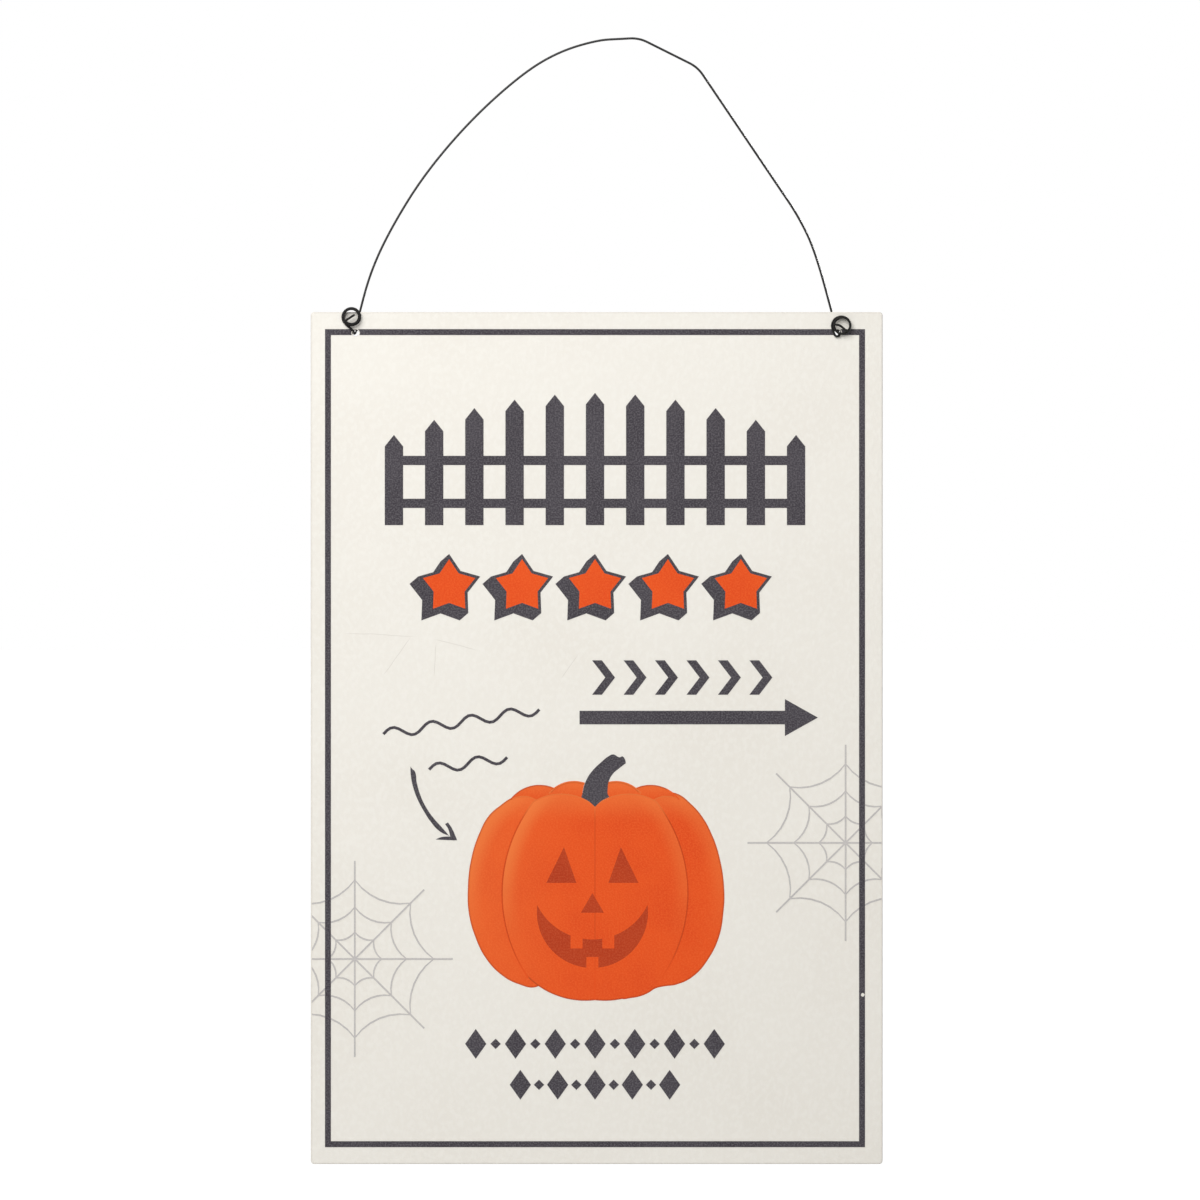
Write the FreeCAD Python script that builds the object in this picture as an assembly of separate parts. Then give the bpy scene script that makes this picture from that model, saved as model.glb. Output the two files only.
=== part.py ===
"""Hanging sign: a printed fibreboard panel that hangs from one bent wire.

Millimetres, +Z up. The print looks along -Y, and +X is to the right of someone who faces it.
The origin is where a nail bears: under the hanger wire, above the middle of the board.
While the pieces are made, z = 0 is the top edge of the board.
"""
import FreeCAD
import Part
import math
import os

from FreeCAD import Vector

# Board: painted fibreboard, drilled near its top corners
BOARD_WIDTH = 200.0
BOARD_HEIGHT = 298.0
BOARD_THICKNESS = 4.0
CORNER_RADIUS = 1.2
EDGE_EASE = 0.4
HOLE_FROM_SIDE = 15.7
HOLE_FROM_TOP = 7.3

# Hanger: one soft steel wire, threaded through the holes from behind
WIRE_DIAMETER = 0.8
HOLE_CLEARANCE = 0.8
SEAT_GAP = 0.2
BEND_EASE = 0.2
HANGER_RISE = 96.0
KINK_RADIUS = 13.0
SOFT = None

# Corners of the arch from the left hole to the right one: how far across and how far up, as
# shares of the span and the rise, and the bend there. A soft bend is as wide as its runs allow.
ARCH = [
    (0.031, 0.158, SOFT),
    (0.073, 0.313, SOFT),
    (0.141, 0.506, SOFT),
    (0.238, 0.706, SOFT),
    (0.344, 0.873, SOFT),
    (0.420, 0.954, SOFT),
    (0.501, 0.997, SOFT),
    (0.588, 1.005, KINK_RADIUS),
    (0.710, 0.898, KINK_RADIUS),
    (0.920, 0.352, SOFT),
    (0.955, 0.224, SOFT),
]
SOFT_SHARE = 0.45

# Curls that stop the wire ends in front of the board. Offsets are from the hole, right and up.
CURL_RADIUS = 3.1
CURL_GAP = 0.3
CURL_CORNERS = 10
LEFT_CURL = {
    "centre": (-1.4, 5.5),
    "start": 216.0,
    "steps": 10,
    "tail": [],
    "end": [(-0.3, 6.3)],
}
RIGHT_CURL = {
    "centre": (1.5, 2.7),
    "start": 216.0,
    "steps": 17,
    "tail": [(0.75, -1.1), (-0.85, -1.3)],
    "end": [(0.3, 3.0), (-0.9, 3.05)],
}

# Print: thin ink on the front face, a little off centre. Its rows follow each other down the board.
INK = 0.1
PRINT_SHIFT = -0.6
RIM_CHIP = 0.3

BORDER_FROM_SIDE = 5.6
BORDER_FROM_END = 6.0
BORDER_LINE = 2.05

FENCE_FROM_TOP = 28.3
FENCE_WIDTH = 147.0
FENCE_END_HEIGHT = 31.5
FENCE_MIDDLE_HEIGHT = 46.2
PICKET_COUNT = 11
PICKET_WIDTH = 6.4
PICKET_POINT = 4.0
RAIL_HEIGHT = 3.2
RAIL_LIFTS = (6.0, 21.0)

STARS_BELOW_FENCE = 11.9
STAR_COUNT = 5
STAR_POINTS = 5
STAR_PITCH = 25.5
STAR_RADIUS = 9.6
STAR_WAIST = 5.7
STAR_OUTLINE = 1.0
SHADE_LEFT = 3.0
SHADE_DOWN = 2.6

CHEVRONS_BELOW_STARS = 16.2
CHEVRON_COUNT = 6
CHEVRON_INSET = 4.4
CHEVRON_PITCH = 11.0
CHEVRON_HEIGHT = 12.0
CHEVRON_POINT = 4.6
CHEVRON_STROKE = 3.4

ARROW_BELOW_CHEVRONS = 1.55
ARROW_TAIL = -5.4
ARROW_LENGTH = 83.3
ARROW_SHAFT = 4.7
ARROW_HEAD_LENGTH = 11.5
ARROW_HEAD_HEIGHT = 12.9

WAVE_LINE = 1.0
WAVE_HEIGHT = 3.6
WAVE_STEP = 6.9
WAVE_CORNERS = 5
WAVE_SLANT = 9.0
UPPER_WAVE = {"from_side": 26.0, "below_arrow": 5.8, "count": 8}
LOWER_WAVE = {"from_side": 42.0, "below_arrow": 18.2, "count": 4}

# Places on the pointer, right and up from the leftmost point of the pumpkin
POINTER_LINE = 1.3
POINTER_SHAFT = 1.7
POINTER_START = (-19.5, 43.7)
POINTER_MIDDLE = (-14.2, 28.0)
POINTER_TIP = (-3.7, 18.0)
POINTER_BARBS = [(-7.2, 23.8), (-10.8, 18.2)]

WEB_LINE = 0.6
WEB_REACH = 34.3
WEB_RINGS = (9.4, 18.1, 27.6)
WEB_SPOKES = 8
WEB_DIP = 0.185
WEB_THREAD_CORNERS = 6
LEFT_WEB_FROM_SIDE = 16.0
LEFT_WEB_RISE = -23.8
RIGHT_WEB_FROM_SIDE = 12.4
RIGHT_WEB_RISE = 16.8

PUMPKIN_BELOW_ARROW = 15.95
PUMPKIN_WIDTH = 89.6
PUMPKIN_HEIGHT = 76.4
RIB_LINE = 0.45
FACE_SHIFT = -0.9

# Arcs round the lobes in the right half of the pumpkin: start, a place on the way and end, as
# shares of its half width and half height.
FRONT_TOP = [(0, 0.775), (0.245, 0.885), (0.48, 0.815)]
FRONT_SIDE = [(0.48, 0.815), (0.725, 0.01), (0.52, -0.795)]
FRONT_BOTTOM = [(0.52, -0.795), (0.27, -0.97), (0, -1)]
SIDE_TOP = [(0.46, 0.83), (0.55, 0.865), (0.645, 0.84)]
SIDE_OUTER = [(0.645, 0.84), (1, 0), (0.755, -0.755)]
SIDE_BOTTOM = [(0.755, -0.755), (0.63, -0.85), (0.44, -0.875)]
BACK_INNER = [(0, 0.93), (0.17, 1), (0.36, 0.89)]
INNER_HIDDEN = [(0.36, 0.7), (0, 0.7)]
BACK_OUTER = [(0.2, 0.83), (0.43, 0.97), (0.66, 0.84)]
OUTER_HIDDEN = [(0.5, 0.7), (0.3, 0.7)]

LOZENGES_BELOW_PUMPKIN = 10.1
LOZENGE_HEIGHT = 10.4
LOZENGE_WIDTH = 7.4
SMALL_LOZENGE = 3.6
LOZENGE_ROW_PITCH = 14.3
UPPER_LOZENGES = {"width": 90.8, "count": 7}
LOWER_LOZENGES = {"width": 59.6, "count": 5}

# What follows from the sizes above
wire_radius = WIRE_DIAMETER / 2
hole_radius = wire_radius + HOLE_CLEARANCE
seat = wire_radius + SEAT_GAP
hole_bend = seat + BEND_EASE
back_y = -seat
front_y = back_y - BOARD_THICKNESS
hole_x = BOARD_WIDTH / 2 - HOLE_FROM_SIDE

# How far down from the top edge each row of the print lies
fence_drop = FENCE_FROM_TOP + FENCE_MIDDLE_HEIGHT
star_drop = fence_drop + STARS_BELOW_FENCE + STAR_RADIUS
chevron_drop = star_drop + STAR_RADIUS + CHEVRONS_BELOW_STARS + CHEVRON_HEIGHT / 2
arrow_drop = chevron_drop + CHEVRON_HEIGHT / 2 + ARROW_BELOW_CHEVRONS + ARROW_HEAD_HEIGHT / 2
pumpkin_drop = arrow_drop + ARROW_HEAD_HEIGHT / 2 + PUMPKIN_BELOW_ARROW + PUMPKIN_HEIGHT / 2
lozenge_drop = pumpkin_drop + PUMPKIN_HEIGHT / 2 + LOZENGES_BELOW_PUMPKIN + LOZENGE_HEIGHT / 2


def rounded_path(corners):
    """Straight runs joined by tangent arcs; a corner is (point, radius) or (point, SOFT)."""
    points = [point for point, radius in corners]
    edges = []
    run_start = points[0]
    for before, (corner, radius), after in zip(points, corners[1:-1], points[2:]):
        back = before - corner
        ahead = after - corner
        half_turn = (math.pi - back.getAngle(ahead)) / 2
        if radius is SOFT:
            reach = SOFT_SHARE * min(back.Length, ahead.Length)
            radius = reach / math.tan(half_turn)
        reach = radius * math.tan(half_turn)
        back.normalize()
        ahead.normalize()
        inward = (back + ahead).normalize()
        arc_start = corner + back * reach
        arc_middle = corner + inward * (radius / math.cos(half_turn) - radius)
        arc_end = corner + ahead * reach
        edges.append(Part.LineSegment(run_start, arc_start).toShape())
        edges.append(Part.Arc(arc_start, arc_middle, arc_end).toShape())
        run_start = arc_end
    edges.append(Part.LineSegment(run_start, points[-1]).toShape())
    return Part.Wire(edges)


def curl_corners(hole, centre, start, steps, tail, end):
    """Corners of one wire end, from the hole outward, wound clockwise and away from the board."""
    first_y = front_y - seat
    pitch = WIRE_DIAMETER + CURL_GAP
    corner_radius = CURL_RADIUS / math.cos(math.pi / CURL_CORNERS)
    corners = [(hole.x + right, first_y, hole.z + up) for right, up in tail]
    for step in range(steps + 1):
        angle = math.radians(start - step * 360 / CURL_CORNERS)
        right = centre[0] + corner_radius * math.cos(angle)
        up = centre[1] + corner_radius * math.sin(angle)
        corners.append((hole.x + right, first_y - pitch * step / CURL_CORNERS, hole.z + up))
    last_y = corners[-1][1]
    corners += [(hole.x + right, last_y, hole.z + up) for right, up in end]
    return [(Vector(*corner), SOFT) for corner in corners]


def threading(hole):
    """The bends where the wire comes in behind the hole and goes out in front of it."""
    bearing_z = hole.z + hole_radius - seat
    behind = Vector(hole.x, 0, bearing_z)
    in_front = Vector(hole.x, front_y - seat, bearing_z)
    return [(behind, hole_bend), (in_front, hole_bend)]


def hanger_path():
    left_hole = Vector(-hole_x, 0, -HOLE_FROM_TOP)
    right_hole = Vector(hole_x, 0, -HOLE_FROM_TOP)
    span = 2 * hole_x
    left_end = threading(left_hole) + curl_corners(left_hole, **LEFT_CURL)
    arch = [(Vector(-hole_x + across * span, 0, up * HANGER_RISE), bend) for across, up, bend in ARCH]
    right_end = threading(right_hole) + curl_corners(right_hole, **RIGHT_CURL)
    return rounded_path(left_end[::-1] + arch + right_end)


def make_hanger(path):
    first_run = path.OrderedEdges[0]
    start = first_run.valueAt(first_run.FirstParameter)
    direction = first_run.tangentAt(first_run.FirstParameter)
    section = Part.Wire(Part.makeCircle(wire_radius, start, direction))
    return path.makePipeShell([section], True, False)


def nail_height(path):
    """Height of the wire's underside above the board's top edge, in the middle of the board."""
    plumb_line = Part.makeLine(Vector(0, 0, 0), Vector(0, 0, 2 * HANGER_RISE))
    nearest = path.distToShape(plumb_line)[1][0][0]
    return nearest.z - wire_radius


def drill(x, radius, depth):
    """A round bar along Y through the place of a hole, to cut with."""
    return Part.makeCylinder(radius, depth, Vector(x, front_y - INK, -HOLE_FROM_TOP), Vector(0, 1, 0))


def make_board():
    corner = Vector(-BOARD_WIDTH / 2, front_y, -BOARD_HEIGHT)
    slab = Part.makeBox(BOARD_WIDTH, BOARD_THICKNESS, BOARD_HEIGHT, corner)
    upright_edges = [edge for edge in slab.Edges if edge.BoundBox.YLength > BOARD_THICKNESS / 2]
    slab = slab.makeFillet(CORNER_RADIUS, upright_edges)
    rims = [edge for edge in slab.Edges if edge.BoundBox.YLength < BOARD_THICKNESS / 2]
    slab = slab.makeChamfer(EDGE_EASE, rims)
    depth = BOARD_THICKNESS + 2 * INK
    return slab.cut([drill(-hole_x, hole_radius, depth), drill(hole_x, hole_radius, depth)])


def at(across, drop):
    """A place in the print: right of its middle line, and down from the top edge."""
    return Vector(PRINT_SHIFT + across, front_y, -drop)


def ink(face):
    """The thin solid that a printed face makes on the board."""
    return face.extrude(Vector(0, -INK, 0))


def fused(solids):
    return solids[0].multiFuse(solids[1:]).removeSplitter()


def polygon(points):
    return Part.Face(Part.makePolygon(points + points[:1]))


def outline(start, steps):
    """A closed face; a step is (end,) for a straight side or (via, end) for an arc."""
    edges = []
    here = start
    for step in steps:
        end = step[-1]
        if len(step) == 1:
            edges.append(Part.LineSegment(here, end).toShape())
        else:
            edges.append(Part.Arc(here, step[0], end).toShape())
        here = end
    return Part.Face(Part.Wire(edges))


def rectangle(left, right, top, bottom):
    return polygon([at(left, top), at(right, top), at(right, bottom), at(left, bottom)])


def straight_stroke(start, end, width):
    side = (end - start).cross(Vector(0, 1, 0)).normalize() * (width / 2)
    return polygon([start + side, end + side, end - side, start - side])


def arc_stroke(start, middle, end, width):
    """A line of even width along an arc."""
    circle = Part.Arc(start, middle, end).toShape().Curve

    def beside(point, offset):
        return circle.Center + (point - circle.Center) * (1 + offset / circle.Radius)

    outer = [beside(point, width / 2) for point in (start, middle, end)]
    inner = [beside(point, -width / 2) for point in (start, middle, end)]
    return outline(outer[0], [(outer[1], outer[2]), (inner[2],), (inner[1], inner[0]), (outer[0],)])


def tapered_stroke(start, middle, end, width):
    """A line along an arc, widest halfway and pointed at both ends."""
    circle = Part.Arc(start, middle, end).toShape().Curve
    side = (middle - circle.Center).normalize() * (width / 2)
    return outline(start, [(middle + side, end), (middle - side, start)])


def border():
    half_width = BOARD_WIDTH / 2 - BORDER_FROM_SIDE
    top = BORDER_FROM_END
    bottom = BOARD_HEIGHT - BORDER_FROM_END
    frame = rectangle(-half_width, half_width, top, bottom)
    line = BORDER_LINE
    inside = rectangle(line - half_width, half_width - line, top + line, bottom - line)
    return ink(frame).cut(ink(inside))


def fence():
    """Pointed pickets on two rails, taller towards the middle."""
    reach = (FENCE_WIDTH - PICKET_WIDTH) / 2
    half = PICKET_WIDTH / 2
    pieces = []
    for number in range(PICKET_COUNT):
        share = 2 * number / (PICKET_COUNT - 1) - 1
        middle = share * reach
        height = FENCE_MIDDLE_HEIGHT - (FENCE_MIDDLE_HEIGHT - FENCE_END_HEIGHT) * share**2
        shoulder = fence_drop - height + PICKET_POINT
        pieces.append(polygon([
            at(middle - half, fence_drop),
            at(middle - half, shoulder),
            at(middle, fence_drop - height),
            at(middle + half, shoulder),
            at(middle + half, fence_drop),
        ]))
    for lift in RAIL_LIFTS:
        bottom = fence_drop - lift
        pieces.append(rectangle(-reach, reach, bottom - RAIL_HEIGHT, bottom))
    return fused([ink(piece) for piece in pieces])


def star_corners(across, growth=1):
    corners = []
    for number in range(2 * STAR_POINTS):
        angle = math.pi * number / STAR_POINTS
        reach = growth * (STAR_WAIST if number % 2 else STAR_RADIUS)
        corners.append(at(across + reach * math.sin(angle), star_drop - reach * math.cos(angle)))
    return corners


def star_places():
    return [(number - (STAR_COUNT - 1) / 2) * STAR_PITCH for number in range(STAR_COUNT)]


def stars():
    return Part.Compound([ink(polygon(star_corners(across))) for across in star_places()])


def star_shades():
    """The outline round each star and the block shade that it throws to the lower left."""
    waist_right = STAR_WAIST * math.sin(math.pi / STAR_POINTS)
    waist_up = STAR_WAIST * math.cos(math.pi / STAR_POINTS)
    side = math.hypot(waist_right, STAR_RADIUS - waist_up)
    middle_to_side = STAR_RADIUS * waist_right / side
    growth = 1 + STAR_OUTLINE / middle_to_side
    throw = Vector(-SHADE_LEFT, 0, -SHADE_DOWN)
    faces = []
    for across in star_places():
        near = star_corners(across, growth)
        faces += [polygon(near), polygon([corner + throw for corner in near])]
        for here, there in zip(near, near[1:] + near[:1]):
            faces.append(polygon([here, there, there + throw, here + throw]))
    return fused([ink(face) for face in faces])


def chevrons():
    half = CHEVRON_HEIGHT / 2
    solids = []
    for number in range(CHEVRON_COUNT):
        left = ARROW_TAIL + CHEVRON_INSET + number * CHEVRON_PITCH
        solids.append(ink(polygon([
            at(left, chevron_drop - half),
            at(left + CHEVRON_STROKE, chevron_drop - half),
            at(left + CHEVRON_STROKE + CHEVRON_POINT, chevron_drop),
            at(left + CHEVRON_STROKE, chevron_drop + half),
            at(left, chevron_drop + half),
            at(left + CHEVRON_POINT, chevron_drop),
        ])))
    return Part.Compound(solids)


def way_arrow():
    tip = ARROW_TAIL + ARROW_LENGTH
    neck = tip - ARROW_HEAD_LENGTH
    shaft = ARROW_SHAFT / 2
    head = ARROW_HEAD_HEIGHT / 2
    return ink(polygon([
        at(ARROW_TAIL, arrow_drop - shaft),
        at(neck, arrow_drop - shaft),
        at(neck, arrow_drop - head),
        at(tip, arrow_drop),
        at(neck, arrow_drop + head),
        at(neck, arrow_drop + shaft),
        at(ARROW_TAIL, arrow_drop + shaft),
    ]))


def wave(from_side, below_arrow, count):
    """A wavy line that climbs to the right."""
    left = from_side - BOARD_WIDTH / 2
    drop = arrow_drop + below_arrow
    swing = WAVE_HEIGHT / 2
    upper = []
    lower = []
    for corner in range(count * WAVE_CORNERS + 1):
        phase = math.pi * corner / WAVE_CORNERS
        slope = swing * math.pi / WAVE_STEP * math.cos(phase)
        middle = at(left + WAVE_STEP * corner / WAVE_CORNERS, drop - swing * math.sin(phase))
        aside = Vector(-slope, 0, 1).normalize() * (WAVE_LINE / 2)
        upper.append(middle + aside)
        lower.append(middle - aside)
    line = ink(polygon(upper + lower[::-1]))
    line.rotate(at(left, drop), Vector(0, -1, 0), WAVE_SLANT)
    return line


def pointer():
    """A hand-drawn arrow that bends down towards the pumpkin."""
    def place(right, up):
        return at(right - PUMPKIN_WIDTH / 2, pumpkin_drop - up)

    tip = place(*POINTER_TIP)
    strokes = [tapered_stroke(place(*POINTER_START), place(*POINTER_MIDDLE), tip, POINTER_SHAFT)]
    for barb in POINTER_BARBS:
        strokes.append(straight_stroke(place(*barb), tip, POINTER_LINE))
    strokes.append(Part.Face(Part.Wire(Part.makeCircle(POINTER_LINE / 2, tip, Vector(0, -1, 0)))))
    return fused([ink(stroke) for stroke in strokes])


def cobweb(across, drop):
    """Spokes, and rings whose threads bow towards the middle from spoke to spoke."""
    def place(radius, spoke):
        angle = 2 * math.pi * spoke / WEB_SPOKES
        return at(across + radius * math.sin(angle), drop - radius * math.cos(angle))

    def disc(radius, offset):
        corners = []
        for spoke in range(WEB_SPOKES):
            ends = place(radius + offset, spoke), place(radius + offset, spoke + 1)
            lowest = place(radius * (1 - WEB_DIP) + offset, spoke + 0.5)
            thread = Part.Arc(ends[0], lowest, ends[1]).toShape()
            corners += thread.discretize(Number=WEB_THREAD_CORNERS + 1)[:-1]
        return ink(polygon(corners))

    strokes = []
    for spoke in range(WEB_SPOKES // 2):
        strokes.append(ink(straight_stroke(place(WEB_REACH, spoke), place(-WEB_REACH, spoke), WEB_LINE)))
    for radius in WEB_RINGS:
        strokes.append(disc(radius, WEB_LINE / 2).cut(disc(radius, -WEB_LINE / 2)))
    return fused(strokes)


def pumpkin_point(across, up, side=1):
    """A place on the pumpkin, as shares of its half width and half height."""
    return at(side * across * PUMPKIN_WIDTH / 2, pumpkin_drop - up * PUMPKIN_HEIGHT / 2)


def lobe(side, arcs, hidden=()):
    """A closed field: its arcs in turn, then straight sides through corners that others hide."""
    start = pumpkin_point(*arcs[0][0], side)
    steps = [(pumpkin_point(*middle, side), pumpkin_point(*end, side)) for begin, middle, end in arcs]
    steps += [(pumpkin_point(*corner, side),) for corner in hidden]
    return ink(outline(start, steps + [(start,)]))


def rib(side, arc):
    return ink(arc_stroke(*[pumpkin_point(*share, side) for share in arc], RIB_LINE))


def stem():
    p = pumpkin_point
    return outline(p(-0.1, 0.865), [
        (p(-0.035, 1.09), p(0.13, 1.245)),
        (p(0.23, 1.222),),
        (p(0.242, 1.175), p(0.21, 1.125)),
        (p(0.1, 0.99), p(0.11, 0.85)),
        (p(0, 0.7),),
        (p(-0.1, 0.865),),
    ])


def lantern_face():
    """Three-cornered eyes and nose, and a grin with three square teeth."""
    def p(across, up, side=1):
        return pumpkin_point(across, up, side) + Vector(FACE_SHIFT, 0, 0)

    features = [ink(polygon([p(-0.09, -0.2), p(0, -0.02), p(0.09, -0.2)]))]
    for side in (-1, 1):
        features.append(ink(polygon([p(0.125, 0.073, side), p(0.222, 0.4, side), p(0.36, 0.073, side)])))
    grin = ink(outline(p(-0.43, -0.13), [
        (p(0, -0.705), p(0.43, -0.13)),
        (p(0, -0.445), p(-0.43, -0.13)),
    ]))
    teeth = [ink(polygon([p(-0.047, -1), p(-0.047, -0.605), p(0.047, -0.605), p(0.047, -1)]))]
    for side in (-1, 1):
        corners = [p(0.077, 0, side), p(0.077, -0.527, side), p(0.171, -0.527, side), p(0.171, 0, side)]
        teeth.append(ink(polygon(corners)))
    return Part.Compound(features + [grin.cut(teeth)])


def pumpkin_layers():
    """Front to back: the cut face, then ribs and the lobes that they part."""
    crease_ends = pumpkin_point(*FRONT_TOP[0]), pumpkin_point(*FRONT_BOTTOM[-1])
    front_ribs = [ink(straight_stroke(*crease_ends, RIB_LINE))]
    back_ribs = []
    front_lobes = []
    back_lobes = []
    for side in (-1, 1):
        front_ribs += [rib(side, FRONT_TOP), rib(side, FRONT_SIDE)]
        back_ribs += [rib(side, SIDE_TOP), rib(side, BACK_INNER)]
        front_lobes.append(("pumpkin_front_print", lobe(side, [FRONT_TOP, FRONT_SIDE, FRONT_BOTTOM])))
        back_lobes.append(("pumpkin_side_print", lobe(side, [SIDE_TOP, SIDE_OUTER, SIDE_BOTTOM])))
        back_lobes.append(("pumpkin_back_print", lobe(side, [BACK_INNER], INNER_HIDDEN)))
        back_lobes.append(("pumpkin_back_print", lobe(side, [BACK_OUTER], OUTER_HIDDEN)))
    return [
        ("pumpkin_face_print", lantern_face()),
        ("pumpkin_rib_print", fused(front_ribs)),
        *front_lobes,
        ("pumpkin_stem_print", ink(stem())),
        ("pumpkin_rib_print", fused(back_ribs)),
        *back_lobes,
    ]


def lozenge(middle, drop, width, height):
    return ink(polygon([
        at(middle - width / 2, drop),
        at(middle, drop - height / 2),
        at(middle + width / 2, drop),
        at(middle, drop + height / 2),
    ]))


def lozenges(drop, width, count):
    """A row of lozenges, large and small in turn."""
    pitch = (width - LOZENGE_WIDTH) / (count - 1)
    first = -(count - 1) / 2 * pitch
    solids = []
    for number in range(count):
        solids.append(lozenge(first + number * pitch, drop, LOZENGE_WIDTH, LOZENGE_HEIGHT))
    for number in range(count - 1):
        solids.append(lozenge(first + (number + 0.5) * pitch, drop, SMALL_LOZENGE, SMALL_LOZENGE))
    return Part.Compound(solids)


def print_layers():
    """The name of the field and its shape, front to back."""
    left_web = LEFT_WEB_FROM_SIDE - BOARD_WIDTH / 2
    right_web = BOARD_WIDTH / 2 - RIGHT_WEB_FROM_SIDE
    return [
        ("border_print", border()),
        *pumpkin_layers(),
        ("way_arrow_print", way_arrow()),
        ("chevron_print", chevrons()),
        ("pointer_print", pointer()),
        ("wave_print", wave(**UPPER_WAVE)),
        ("wave_print", wave(**LOWER_WAVE)),
        ("star_print", stars()),
        ("star_shade_print", star_shades()),
        ("fence_print", fence()),
        ("lozenge_print", lozenges(lozenge_drop, **UPPER_LOZENGES)),
        ("lozenge_print", lozenges(lozenge_drop + LOZENGE_ROW_PITCH, **LOWER_LOZENGES)),
        ("left_web_print", cobweb(left_web, pumpkin_drop - LEFT_WEB_RISE)),
        ("right_web_print", cobweb(right_web, pumpkin_drop - RIGHT_WEB_RISE)),
    ]


def printed_fields():
    """Each layer without what lies under the layers before it, off the edges and off the holes."""
    flat = Vector(EDGE_EASE - BOARD_WIDTH / 2, front_y - INK, EDGE_EASE - BOARD_HEIGHT)
    printable = Part.makeBox(BOARD_WIDTH - 2 * EDGE_EASE, INK, BOARD_HEIGHT - 2 * EDGE_EASE, flat)
    rims = [drill(x, hole_radius + RIM_CHIP, INK) for x in (-hole_x, hole_x)]
    fields = {}
    in_front = rims
    for name, layer in print_layers():
        over = [shape for shape in in_front if shape.BoundBox.intersect(layer.BoundBox)]
        shown = layer.common(printable)
        if over:
            shown = shown.cut(over)
        fields.setdefault(name, []).extend(shown.Solids)
        in_front = in_front + [layer]
    return {name: Part.Compound(solids) for name, solids in fields.items()}


path = hanger_path()
pieces = {"board": make_board(), "wire_hanger": make_hanger(path), **printed_fields()}
origin_shift = Vector(0, 0, -nail_height(path))
os.makedirs("parts", exist_ok=True)
for name, piece in pieces.items():
    piece.translate(origin_shift)
    piece.exportStep(f"parts/{name}.step")
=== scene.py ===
import math

import bmesh
import bpy
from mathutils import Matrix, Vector


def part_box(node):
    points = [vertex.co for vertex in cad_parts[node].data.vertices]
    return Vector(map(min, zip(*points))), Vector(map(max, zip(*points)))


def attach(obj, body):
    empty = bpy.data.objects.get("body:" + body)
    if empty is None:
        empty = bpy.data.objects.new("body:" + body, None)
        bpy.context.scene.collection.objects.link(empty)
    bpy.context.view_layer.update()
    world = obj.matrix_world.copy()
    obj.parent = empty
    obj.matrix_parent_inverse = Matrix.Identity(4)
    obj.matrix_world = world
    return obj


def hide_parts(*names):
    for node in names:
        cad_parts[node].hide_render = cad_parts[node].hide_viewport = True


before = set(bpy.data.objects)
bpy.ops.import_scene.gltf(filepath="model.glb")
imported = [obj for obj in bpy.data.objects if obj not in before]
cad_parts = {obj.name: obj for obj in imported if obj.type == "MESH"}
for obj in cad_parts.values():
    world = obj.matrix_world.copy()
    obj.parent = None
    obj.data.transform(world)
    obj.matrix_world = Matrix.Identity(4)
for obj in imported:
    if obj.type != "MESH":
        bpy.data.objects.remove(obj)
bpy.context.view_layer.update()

# Board: one panel of fibreboard, sawn to size and sprayed all over with matt off-white paint.
# Its edges are eased by sanding, and two holes for the wire are drilled through near the top
# corners after painting, so their walls are bare fibreboard.
board_low, board_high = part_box("board")
CORNER_RADIUS = 0.0012
CORNER_STEPS = 8
EDGE_RADIUS = 0.0004
EDGE_STEPS = 4
HOLE_FROM_SIDE = 0.0157
HOLE_FROM_TOP = 0.0073
HOLE_RADIUS = 0.0012
HOLE_SIDES = 64
HOLE_RIM = 0.00012
RIM_STEPS = 2
BOARD_SMOOTH_BELOW = 35
PAINT = (243, 239, 230)
PAINT_SHADE = (238, 233, 223)
PAINT_PEEL = (248, 245, 237)
# Edge colour: partly rubbed paint, partly painted shade where the eased edges turn away from the light
PAINT_WORN_AND_SHADE = (221, 215, 205)
PAINT_ROUGHNESS = 0.62
PAINT_SHEEN = 0.25
CLOUD_STRENGTH = 0.5
PEEL_STRENGTH = 0.45
PEEL_HEIGHT = 0.00003
# Uneven band along every edge of the board that takes the edge colour: rubbed paint and painted shade
EDGE_WEAR_AND_SHADE_WIDTH = 0.0009
EDGE_WEAR_AND_SHADE_PER_METRE = (220, 220, 220)
EDGE_WEAR_AND_SHADE_DETAIL = 4
EDGE_WEAR_AND_SHADE_LEAST = 0.2
EDGE_WEAR_AND_SHADE_VARIETY = 0.7
BARE_FIBRE = (150, 116, 78)
BARE_FIBRE_DARK = (112, 82, 52)
FIBRE_ROUGHNESS = 0.9
FIBRE_HEIGHT = 0.0001

# Patches in a finish: how many to the metre along x, y and z, their detail, and the range they fill
PAINT_CLOUDS = ((14, 14, 20), 4, 0.35, 0.7)
PAINT_DOTS = ((700, 700, 500), 3, 0.4, 0.68)
FIBRES = ((2500, 9000, 2500), 4, 0.35, 0.65)

hole_x = board_high.x - HOLE_FROM_SIDE
hole_z = board_high.z - HOLE_FROM_TOP
hole_places = [Vector((side * hole_x, board_low.y, hole_z)) for side in (-1, 1)]
bit_length = 4 * (board_high.y - board_low.y)

# Hairline scratches in the paint, across and up from the middle of the board's top edge
SCRATCHES = [
    ((-0.0898, -0.1119), (-0.0621, -0.1126)),
    ((-0.0571, -0.1133), (-0.0408, -0.1175)),
    ((-0.0639, -0.1136), (-0.0747, -0.1280)),
    ((-0.0550, -0.1154), (-0.0562, -0.1280)),
    ((-0.0132, -0.1280), (-0.0072, -0.1191)),
]
SCRATCH_WIDTH = 0.0002
SCRATCH_SHADE = (214, 208, 198)
SCRATCH_STRENGTH = 0.5
SCRATCH_FADE = 0.2
SCRATCH_BOW = 0.0016
SCRATCH_BOWS_PER_METRE = (60, 60, 60)


def linear(colour):
    """The shader's colour for one written as red, green and blue from 0 to 255."""
    shares = [value / 255 for value in colour]
    return [((share + 0.055) / 1.055) ** 2.4 for share in shares] + [1]


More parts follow.
